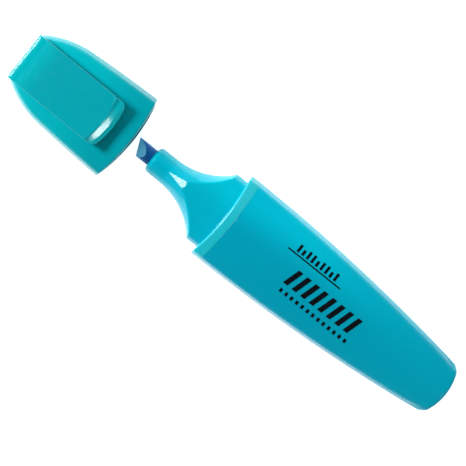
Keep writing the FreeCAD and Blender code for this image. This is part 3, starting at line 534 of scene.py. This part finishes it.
def heights(x, y):
    """Top and belly heights of the barrel at each x and y."""
    upper, lower = body_half(*barrel_shape(x))
    top = [np.interp(abs(b), u[::-1, 0], u[::-1, 1]) for b, u in zip(y, upper)]
    under = [np.interp(abs(b), v[::-1, 0], v[::-1, 1]) for b, v in zip(y, lower)]
    return np.array(top), np.array(under)


def rounded_tail():
    """The rings that turn the barrel's top and belly into the upright tail wall."""
    over = np.arange(RING_POINTS) < RING_POINTS // 2
    x, y, out_x, out_y = tail_end()
    top, under = heights(x, y)
    radius = np.minimum(TAIL_ROUND, 0.42 * np.maximum(top - under, 0))
    rings = []
    for turn in quarter_turn(5):
        back = radius * (1 - math.sin(turn))
        px, py = x - out_x * back, y - out_y * back
        top, under = heights(px, py)
        drop = radius * (1 - math.cos(turn))
        rings.append(np.column_stack([px, py, np.where(over, top - drop, under + drop)]))
    return rings


def make_barrel():
    skin = Skin()

    def rim(inset, back):
        """The ring this far inside the outline and this far behind the mouth."""
        return follow(lambda x: barrel_shape(x, inset), lambda y: barrel_mouth(y) - back)

    mouth = [rim(BARREL_WALL, 0.15), rim(1.15, 0), rim(0.08, 0), rim(0.02, 0.02), rim(0, 0.08)]
    tail = rounded_tail()
    start, end = mouth[-1][:, 0], tail[0][:, 0]
    tail_shift = tail[0][:, 1] - ring_at(barrel_shape, end)[:, 0]
    body = []
    for share in np.linspace(0, 1, 44)[1:-1]:
        x = start + (end - start) * share
        points = ring_at(barrel_shape, x)
        last_tenth = max(0.0, share - 0.9) * 10
        body.append(np.column_stack([x, points[:, 0] + tail_shift * last_tenth ** 2, points[:, 1]]))
    inside = [flat_section(barrel_shape, x, BARREL_WALL) for x in np.linspace(-BARREL_LENGTH + 2.6, -8, 14)]
    made = skin.tube(inside + mouth + body + tail)
    skin.shut(made[0])
    skin.shut(made[-1], flip=True)
    piece = skin.build("barrel_shell", PEN_X, BARREL_PLASTIC)
    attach(piece, "pen")
    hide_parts("barrel")


# ---------------------------------------------------------------- nose

# The collar is a step inside the flange. Its sides flare in from the shoulder to the snout, and its flat top narrows
# to the crease, where it is still a ridge this wide to each side and the slope to the snout begins.
SNOUT_RADIUS = 4.06
SNOUT_START = 20.16
SNOUT_END = 25.9
SNOUT_ROUND = 1.4
SNOUT_BORE = 2.53
SNOUT_TOP = AXIS + SNOUT_RADIUS
FLARE_RADIUS = 20.44
CREASE = 13.6
RIDGE = 1.4
COLLAR_STEP = 2.3
COLLAR = (RIM_HALF - COLLAR_STEP, COLLAR_STEP, RIM_HEIGHT - COLLAR_STEP)
SHOULDER = SNOUT_START - math.sqrt(FLARE_RADIUS ** 2 - (SNOUT_RADIUS + FLARE_RADIUS - COLLAR[0]) ** 2)
FRONT_BOW = 64.0
FLANGE_ROUND = 0.55
PLUG = 1.45
NOSE_WALL_INSET = 2.45


def flare_half(x):
    """Half width of the flare at x."""
    return SNOUT_RADIUS + FLARE_RADIUS - math.sqrt(FLARE_RADIUS ** 2 - (SNOUT_START - x) ** 2)


def nose_ring(x):
    """One section of the flare, from the collar's shoulder to the snout. Its flat top narrows to the ridge, where the
    slope down to the snout begins."""
    half = flare_half(x)
    collar_half, collar_base, collar_top = COLLAR
    height = collar_top - collar_base
    share = (x - SHOULDER) / (SNOUT_START - SHOULDER)
    base = collar_base + (1 - (1 - share) ** 2) * (AXIS - SNOUT_RADIUS - collar_base)
    widest = (collar_base + height * WIDEST_RATIO) * (1 - share) + AXIS * share
    if x <= CREASE:
        run = (x - SHOULDER) / (CREASE - SHOULDER)
        flat = half - (FACET + (flare_half(CREASE) - RIDGE - FACET) * run)
        rise = max(height * (1 - CORNER_RATIO) * (flat / (collar_half - FACET)) ** 2, 0.01)
        top = collar_top
        bulge = 0.015 + 0.125 * run
        corner = 0.8 - 0.5 * run
    else:
        run = (x - CREASE) / (SNOUT_START - CREASE)
        fallen = 1.025 * run if run < 0.95 else 1 - 0.5256 * (1 - run)
        top = collar_top - (collar_top - SNOUT_TOP) * fallen
        flat = max(RIDGE * (1 - run), 0.02)
        rise = 0.004
        bulge = 0.14 + 0.067 * run ** 1.5
        corner = 0.12
    upper, lower = half_ring(flat, top - rise, top, half, widest, base, bulge, corner,
                             0.4 * (1 - share) + 0.3 * share)
    return flat_ring(x, full_ring(upper, lower)[0])


def round_ring(x, radius):
    """A circle about the pen's axis, with the same number of points as the other sections."""
    upper, lower = half_ring(0.02, AXIS + radius - 0.0001, AXIS + radius, radius, AXIS, AXIS - radius, 0.2071,
                             0.01, 0.3 * radius / SNOUT_RADIUS)
    return flat_ring(x, full_ring(upper, lower)[0])


def flange_outline(inset):
    """The section of the flange, which is the same all along it, moved inwards by inset."""
    return lambda x: (RIM_HALF - inset + 0 * x, inset + 0 * x, RIM_HEIGHT - inset + 0 * x)


def make_nose():
    skin = Skin()

    def front(y):
        return -0.5 + arc_rise(FRONT_BOW, y)

    def level(inset, x):
        return follow(flange_outline(inset), lambda y: np.full_like(y, x))

    def behind(inset, ahead=0.0):
        return follow(flange_outline(inset), lambda y: barrel_mouth(y) + ahead)

    def before(inset, ahead=0.0):
        return follow(flange_outline(inset), lambda y: front(y) + ahead)

    # The plug inside the barrel, then the flange.
    rings = [level(NOSE_WALL_INSET, -9.3), level(PLUG + 0.2, -9.3), level(PLUG, -9.0), behind(PLUG, -0.02)]
    first_of_flange = len(rings)
    rings += [behind(PLUG), behind(0.08), behind(0.02, 0.02), behind(0.0, 0.08)]
    for share in (0.35, 0.65):
        rings.append(follow(flange_outline(0.0), lambda y: (barrel_mouth(y) + 0.08) * (1 - share)
                            + (front(y) - FLANGE_ROUND) * share))
    for turn in quarter_turn(6):
        rings.append(before(FLANGE_ROUND * (1 - math.cos(turn)), FLANGE_ROUND * (math.sin(turn) - 1)))
    last_of_flange = len(rings) - 1

    # The collar, the flare and the snout.
    rings += [before(1.3), before(2.12), before(2.24, 0.05), before(COLLAR_STEP, 0.2)]
    collar_start = rings[-1][:, 0]
    for share in (0.33, 0.66, 0.94):
        rings.append(np.column_stack([collar_start * (1 - share) + SHOULDER * share, whole(*COLLAR)]))
    rings += [nose_ring(x) for x in np.linspace(SHOULDER, CREASE, 16)]
    rings += [nose_ring(x) for x in np.linspace(CREASE + 0.12, SNOUT_START, 14)]
    rings += [round_ring(x, SNOUT_RADIUS) for x in np.linspace(SNOUT_START + 0.5, SNOUT_END - SNOUT_ROUND, 6)]
    for turn in quarter_turn(8)[1:]:
        rings.append(round_ring(SNOUT_END - SNOUT_ROUND + SNOUT_ROUND * math.sin(turn),
                                SNOUT_RADIUS - SNOUT_ROUND * (1 - math.cos(turn))))

    # The bore and the hollow behind it, back to the plug's rear edge.
    rings += [round_ring(SNOUT_END - 0.15, SNOUT_BORE), round_ring(16.0, SNOUT_BORE), round_ring(15.5, 2.75)]
    rings += [flat_ring(4.0, whole(9.6, 4.4, 12.3)), level(3.6, -0.5), level(NOSE_WALL_INSET, -3.0)]

    made = skin.tube(rings)
    skin.bridge(made[-1], made[0])
    skin.second = set(range(RING_POINTS * first_of_flange, RING_POINTS * last_of_flange))
    piece = skin.build("nose_moulding", PEN_X, NOSE_PLASTIC, second=FLANGE_PLASTIC)
    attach(piece, "pen")
    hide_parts("nose_section")


# ---------------------------------------------------------------- cap

# The cap tapers from its mouth to its shoulders, while its top falls and its belly rises towards the flat end.
CAP_MOUTH_HALF = 13.88
CAP_TAPER = 1.18
CAP_SHOULDER = 23.5
CAP_SHOULDER_RADIUS = 29.0
CAP_SHOULDER_CENTRE = (21.22, -16.21)
CAP_BELLY_RISE = 2.2
CAP_TOP_FALL = 2.5
CAP_WALL = 1.6
CAP_LIP = 0.35
CAP_END_ROUND = 0.8
SEAT_RIB_Y = 6.0
SEAT_RIB_HEIGHTS = ((14.1, 15.4), (1.8, 3.4))


def cap_half(x):
    """Half width of the cap: a gentle taper, then a wide shoulder arc to the flat end."""
    u = np.clip(x, 0, CAP_SHOULDER) / CAP_SHOULDER
    taper = CAP_MOUTH_HALF - CAP_TAPER * (0.55 * u + 0.45 * u ** 2)
    centre_x, centre_y = CAP_SHOULDER_CENTRE
    arc = centre_y + np.sqrt(np.maximum(CAP_SHOULDER_RADIUS ** 2 - (x - centre_x) ** 2, 1))
    return np.where(x > CAP_SHOULDER, arc, taper)


def cap_shape(x, inset=0.0):
    """Half width, base and top of the cap at x, moved inwards by inset."""
    u = np.clip(x, 0, None) / CAP_LENGTH
    return cap_half(x) - inset, CAP_BELLY_RISE * u ** 2 + inset, RIM_HEIGHT - CAP_TOP_FALL * u ** 2 - inset


def ring_tube(skin, start, end, inner, outer):
    """A short round tube about the pen's axis, with its open rim softened."""
    turns = np.linspace(0, 2 * math.pi, 48, endpoint=False)
    soft = 0.12
    profile = [(start + soft, inner), (start, inner + soft), (start, outer - soft), (start + soft, outer),
               (end, outer), (end, inner)]
    rings = [skin.ring([(x, r * math.cos(a), AXIS + r * math.sin(a)) for a in turns]) for x, r in profile]
    for a, b in zip(rings, rings[1:] + rings[:1]):
        skin.bridge(a, b)


def block(skin, low, high):
    """A small rib with its ends tapered."""
    soft = 0.15
    rings = []
    for x, s in ((low[0], soft), (low[0] + soft, 0), (high[0] - soft, 0), (high[0], soft)):
        y0, y1, z0, z1 = low[1] + s, high[1] - s, low[2] + s, high[2] - s
        rings.append(skin.ring([(x, y0, z0), (x, y1, z0), (x, y1, z1), (x, y0, z1)]))
    for a, b in zip(rings, rings[1:]):
        skin.bridge(a, b)
    skin.faces.append(tuple(rings[0][::-1]))
    skin.faces.append(tuple(rings[-1]))


def make_cap():
    skin = Skin()

    def rim(inset, ahead):
        """The ring this far inside the outline and this far from the mouth."""
        return follow(lambda x: cap_shape(x, inset), lambda y: -0.4 + arc_rise(FRONT_BOW, y) + ahead)

    rings = [flat_section(cap_shape, x, CAP_WALL) for x in np.linspace(CAP_LENGTH - 1.9, 3, 14)]
    rings += [rim(CAP_WALL, 0.25), rim(CAP_WALL - 0.2, 0)]
    for turn in quarter_turn(4)[::-1]:
        rings.append(rim(CAP_LIP * (1 - math.cos(turn)), CAP_LIP * (1 - math.sin(turn))))
    start = rings[-1][:, 0]
    for share in np.linspace(0, 1, 26)[1:]:
        x = start * (1 - share) + (CAP_LENGTH - CAP_END_ROUND) * share
        rings.append(np.column_stack([x, ring_at(cap_shape, x)]))
    for turn in quarter_turn(6)[1:]:
        x = CAP_LENGTH - CAP_END_ROUND * (1 - math.sin(turn))
        rings.append(flat_section(cap_shape, x, CAP_END_ROUND * (1 - math.cos(turn))))
    made = skin.tube(rings)
    skin.shut(made[0])
    skin.shut(made[-1], flip=True)
    ring_tube(skin, 32.2, CAP_LENGTH - 1.5, 4.02, 4.92)
    for y in (SEAT_RIB_Y, -SEAT_RIB_Y):
        for low, high in SEAT_RIB_HEIGHTS:
            block(skin, (0.9, y - 0.5, low), (4.3, y + 0.5, high))
    piece = skin.build("cap_moulding", CAP_X, CAP_PLASTIC)
    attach(piece, "cap")
    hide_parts("cap_shell")


# ---------------------------------------------------------------- clip

# The clip runs from its bowed free end to the cap's end. Its top slopes up from the hinge line to a bevel, and then to
# a steeper face, both of which follow the bow. Its root sinks into the cap.
CLIP_HALF = 7.5
CLIP_FREE = 5.75
CLIP_END = CAP_LENGTH - 0.02
CLIP_BOW = 23.0
CLIP_CORNER = 2.2
CLIP_SLOPE = 0.1231
CLIP_ROOT_TOP = 16.65
CLIP_SOFT = 0.3
HINGE = 35.4
BEVEL_START = 9.05
BEVEL_END = 6.85
BEVEL_DROP = 0.83
FACE_DROP = 0.62
END_ROUND = 0.5
END_FALL = 0.3
TIP_SOFT = 0.16
UNDER_FREE = (6.05, 18.3)
UNDER_HINGE = 14.65
ROOT_START = 35.1
ROOT_FOOT = (36.0, 13.0)


def clip_top(x, y):
    """Height of the clip's upper face. Its last millimetres are bevelled, along the bowed free end."""
    past = np.clip((x - HINGE) / (CLIP_END - HINGE), 0, 1)
    edge = np.clip((x - (CLIP_END - END_ROUND)) / END_ROUND, 0, 1)
    line = CLIP_ROOT_TOP + CLIP_SLOPE * np.maximum(HINGE - x, 0)
    line = line - END_FALL * past ** 2 - END_ROUND * (1 - np.sqrt(1 - edge ** 2))
    d = x - arc_rise(CLIP_BOW, y)
    knee = CLIP_ROOT_TOP + CLIP_SLOPE * (HINGE - BEVEL_START)
    bevel = knee - BEVEL_DROP * (BEVEL_START - d) / (BEVEL_START - BEVEL_END)
    face = knee - BEVEL_DROP - FACE_DROP * (BEVEL_END - d) / (BEVEL_END - CLIP_FREE)
    return np.where(d > BEVEL_START, line, np.where(d > BEVEL_END, bevel, face))


def clip_under(x):
    """Height of the clip's lower face, a straight slope that drops into the cap behind the hinge."""
    free_x, free_z = UNDER_FREE
    slope = (free_z - UNDER_HINGE) / (HINGE - free_x)
    return np.interp(x, [free_x, ROOT_START, ROOT_FOOT[0]],
                     [free_z, free_z - slope * (ROOT_START - free_x), ROOT_FOOT[1]])


def clip_tip(y):
    """x of the free end's outline at y, and the way out there."""
    centre = CLIP_FREE + CLIP_BOW
    cy = CLIP_HALF - CLIP_CORNER
    cx = centre - math.sqrt((CLIP_BOW - CLIP_CORNER) ** 2 - cy ** 2)
    size = np.abs(y)
    corner = size > cy * CLIP_BOW / (CLIP_BOW - CLIP_CORNER)
    arc_x = centre - np.sqrt(CLIP_BOW ** 2 - size ** 2)
    corner_x = cx - np.sqrt(np.maximum(CLIP_CORNER ** 2 - (size - cy) ** 2, 0))
    x = np.where(corner, corner_x, arc_x)
    out_x = np.where(corner, x - cx, x - centre)
    out_y = np.where(corner, size - cy, size) * np.sign(y)
    length = np.hypot(out_x, out_y)
    return x, out_x / length, out_y / length


def make_clip():
    skin = Skin()
    # The points across: a rounded edge, then wider and wider steps to the middle, and all of it mirrored.
    turns = quarter_turn(5)[::-1]
    plain = CLIP_HALF - CLIP_SOFT - np.array([0.25, 0.6, 1.0, 1.5, 2.1, 2.9, 3.9, 5.0, 6.1])
    across = np.concatenate([CLIP_HALF - CLIP_SOFT * (1 - np.sin(turns)), plain, [0.0]])
    sunk = np.concatenate([CLIP_SOFT * (1 - np.cos(turns)), np.zeros(len(plain) + 1)])
    over_y = np.concatenate([across, -across[-2::-1]])
    over_sunk = np.concatenate([sunk, sunk[-2::-1]])
    y = np.concatenate([over_y, -over_y])
    edge_fall = np.concatenate([over_sunk, over_sunk])
    upper = np.arange(len(y)) < len(over_y)

    def ring(x, y, least_fall=0.0):
        top, under = clip_top(x, y), clip_under(x)
        fall = np.minimum(np.maximum(edge_fall, least_fall), np.maximum((top - under) * 0.45, 0.02))
        return np.column_stack([x, y, np.where(upper, top - fall, under + fall)])

    end_x, out_x, out_y = clip_tip(y)
    rings = []
    for turn in quarter_turn(4)[::-1]:
        back = TIP_SOFT * (1 - math.sin(turn))
        rings.append(ring(end_x - out_x * back, y - out_y * back, TIP_SOFT * (1 - math.cos(turn))))
    bow = arc_rise(CLIP_BOW, y)
    inner_x = end_x - out_x * TIP_SOFT

    # Rings along the bow, close together at the bevel's edges. They grow out of the tip's outline.
    knots = [6.35, 6.72, 6.85, 6.98, 7.6, 8.3, 8.9, 9.05, 9.2, 9.6, 10.4]
    for d in knots:
        share = (d - CLIP_FREE) / (knots[-1] - CLIP_FREE)
        rings.append(ring(np.maximum(d + bow, inner_x + (knots[-1] + bow - inner_x) * share), y))

    # Straighter and straighter rings to the root, and the end with its upper edge rounded.
    last = rings[-1][:, 0]
    for share in np.linspace(0, 1, 22)[1:]:
        rings.append(ring(last * (1 - share) + ROOT_START * share, y))
    end_start = CLIP_END - END_ROUND
    for x in [*np.linspace(HINGE, end_start, 7)[:-1], *(end_start + END_ROUND * np.sin(quarter_turn(7)))]:
        rings.append(ring(np.full(len(y), x), y))

    made = skin.tube(rings)
    skin.shut(made[0])
    skin.shut(made[-1], flip=True)
    piece = skin.build("clip_tongue", CAP_X, CLIP_PLASTIC)
    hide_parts("cap_clip")
    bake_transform(piece)


# ---------------------------------------------------------------- print

INK_THICKNESS = 0.03
INK_SUNK = 0.05


def barrel_top(x, y):
    half, _, top = barrel_shape(x)
    return crown(y, half - FACET, top * (1 - CORNER_RATIO), top)


def mark(skin, x0, x1, y0, y1, slant=0.0):
    """One printed mark: a patch that lies on the barrel's top, with its ends slanted where asked."""
    rows, columns = max(3, int(abs(y1 - y0) / 0.4) + 2), max(3, int(abs(x1 - x0) / 0.5) + 2)
    grids = []
    for lift in (INK_THICKNESS, -INK_SUNK):
        grid = []
        for i in range(rows):
            y = y0 + (y1 - y0) * i / (rows - 1)
            lean = slant * (i / (rows - 1) - 0.5)
            grid.append([(x, y, float(barrel_top(np.float64(x), y)) + lift)
                         for x in (x0 + lean + (x1 - x0) * j / (columns - 1) for j in range(columns))])
        grids.append(grid)
    skin.slab(*grids)


def mark_row(name, count, start, pitch, length, y0, y1, slant=0.0, short=0.0):
    """A row of marks that runs back along the barrel from start. Each third one is shorter, where asked."""
    skin = Skin()
    for n in range(count):
        x = start - n * pitch
        mark(skin, x - length, x, y0 + (short if n % 3 == 1 else 0.0), y1, slant)
    piece = skin.build(name, PEN_X, PRINT_INK, merge=1e-7, weighted=False)
    piece.data.shade_flat()
    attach(piece, "pen")


def make_print():
    """Plain marks of the same weight as the printing on such a pen: a rule, bars and squares that spell nothing."""
    mark_row("print_rule", 1, -19.5, 0.0, 18.6, -5.0, -4.58)
    mark_row("print_short_bars", 9, -21.9, 1.62, 0.8, -7.85, -5.45, short=0.7)
    mark_row("print_broad_bars", 8, -25.2, 3.05, 1.55, -1.7, 3.7, slant=1.5)
    mark_row("print_squares", 13, -25.0, 1.9, 0.85, 5.2, 6.4)


# ---------------------------------------------------------------- carried-over CAD nodes

def dress(node, material):
    """Gives a CAD node its material."""
    slots = frame["nodes"][node].data.materials
    slots.clear()
    slots.append(material)


make_barrel()
make_nose()
make_cap()
make_clip()
make_print()
dress("nib", NIB_FIBRE)
dress("reservoir_core", CORE_FIBRE)
dress("reservoir_wrap", FILM)
dress("inner_cap", SEAL_PLASTIC)


# ---------------------------------------------------------------- studio

def pale_floor():
    """A wide white floor, partly self-lit so that it stays even."""
    material, tree, shader = node_material("studio_floor")
    shader.inputs["Base Color"].default_value = (0.86, 0.86, 0.86, 1)
    shader.inputs["Roughness"].default_value = 0.9
    shader.inputs["Emission Color"].default_value = (1, 1, 1, 1)
    shader.inputs["Emission Strength"].default_value = 0.85
    mesh = bpy.data.meshes.new("studio_floor")
    reach = 3.0
    mesh.from_pydata([(-reach, -reach, 0), (reach, -reach, 0), (reach, reach, 0), (-reach, reach, 0)], [],
                     [(0, 1, 2, 3)])
    mesh.materials.append(material)
    floor = bpy.data.objects.new("studio_floor", mesh)
    bpy.context.scene.collection.objects.link(floor)


def studio_world():
    """Pale near the horizon and dim overhead, so that flat tops keep their full colour."""
    world = bpy.data.worlds.new("studio")
    bpy.context.scene.world = world
    world.use_nodes = True
    tree = world.node_tree
    background = tree.nodes["Background"]
    where = tree.nodes.new("ShaderNodeTexCoord").outputs["Generated"]
    split = tree.nodes.new("ShaderNodeSeparateXYZ")
    tree.links.new(where, split.inputs[0])
    shade = blend_colours(tree, spread(tree, split.outputs["Z"], 0.0, 1.0, 0.35, 0.9), (0.85, 0.85, 0.85),
                          (0.12, 0.12, 0.12))
    tree.links.new(shade, background.inputs["Color"])
    background.inputs["Strength"].default_value = 0.3


def facing(towards):
    """A rotation whose -Z axis points from that direction to the pen, with its X axis level."""
    level = Vector((0, 0, 1)).cross(towards).normalized()
    return Matrix((level, towards.cross(level), towards)).transposed().to_4x4()


def softbox(name, direction, distance, width, height, power, glossy=True):
    """A rectangular studio light that faces the pen. Without glossy it lights the pen but leaves no streak on it."""
    data = bpy.data.lights.new(name, "AREA")
    data.shape = "RECTANGLE"
    data.size = width
    data.size_y = height
    data.energy = power
    lamp = bpy.data.objects.new(name, data)
    bpy.context.scene.collection.objects.link(lamp)
    lamp.visible_glossy = glossy
    towards = Vector(direction).normalized()
    lamp.matrix_world = Matrix.Translation(towards * distance) @ facing(towards)


def camera():
    """Almost straight down, turned so that the pen lies from the upper left to the lower right."""
    data = bpy.data.cameras.new("camera")
    data.lens = 300
    data.sensor_width = 36
    data.clip_start = 0.05
    data.clip_end = 20
    eye = bpy.data.objects.new("camera", data)
    bpy.context.scene.collection.objects.link(eye)
    turn, tilt = math.radians(39), math.radians(3.0)
    back = Vector((0.0, -math.tan(tilt), 1)).normalized()
    right = Vector((-math.cos(turn), -math.sin(turn), 0))
    right = (right - back * right.dot(back)).normalized()
    up = back.cross(right)
    target = Vector((-0.77, 1.94, 13.0)) * MM
    width_seen = 130.5 * MM
    distance = width_seen * data.lens / data.sensor_width
    eye.matrix_world = Matrix.Translation(target + back * distance) @ Matrix((right, up, back)).transposed().to_4x4()
    bpy.context.scene.camera = eye


pale_floor()
studio_world()
# The key lights the pen from beyond the cap, and the side box fills in the near side. The two small boxes make
# the highlights on the nose's slope and on the clip's bevel.
softbox("key", (0.855, 0.07, 0.51), 2.4, 0.62, 0.62, 70.0)
softbox("side", (0.10, -0.93, 0.36), 1.2, 1.9, 0.55, 5.0, glossy=False)
softbox("nose_glint", (0.478, 0.041, 0.877), 2.0, 0.16, 0.22, 3.4)
softbox("clip_glint", (-0.615, 0.118, 0.779), 2.0, 0.42, 0.15, 6.0)
camera()
bpy.context.scene.view_settings.view_transform = "Standard"
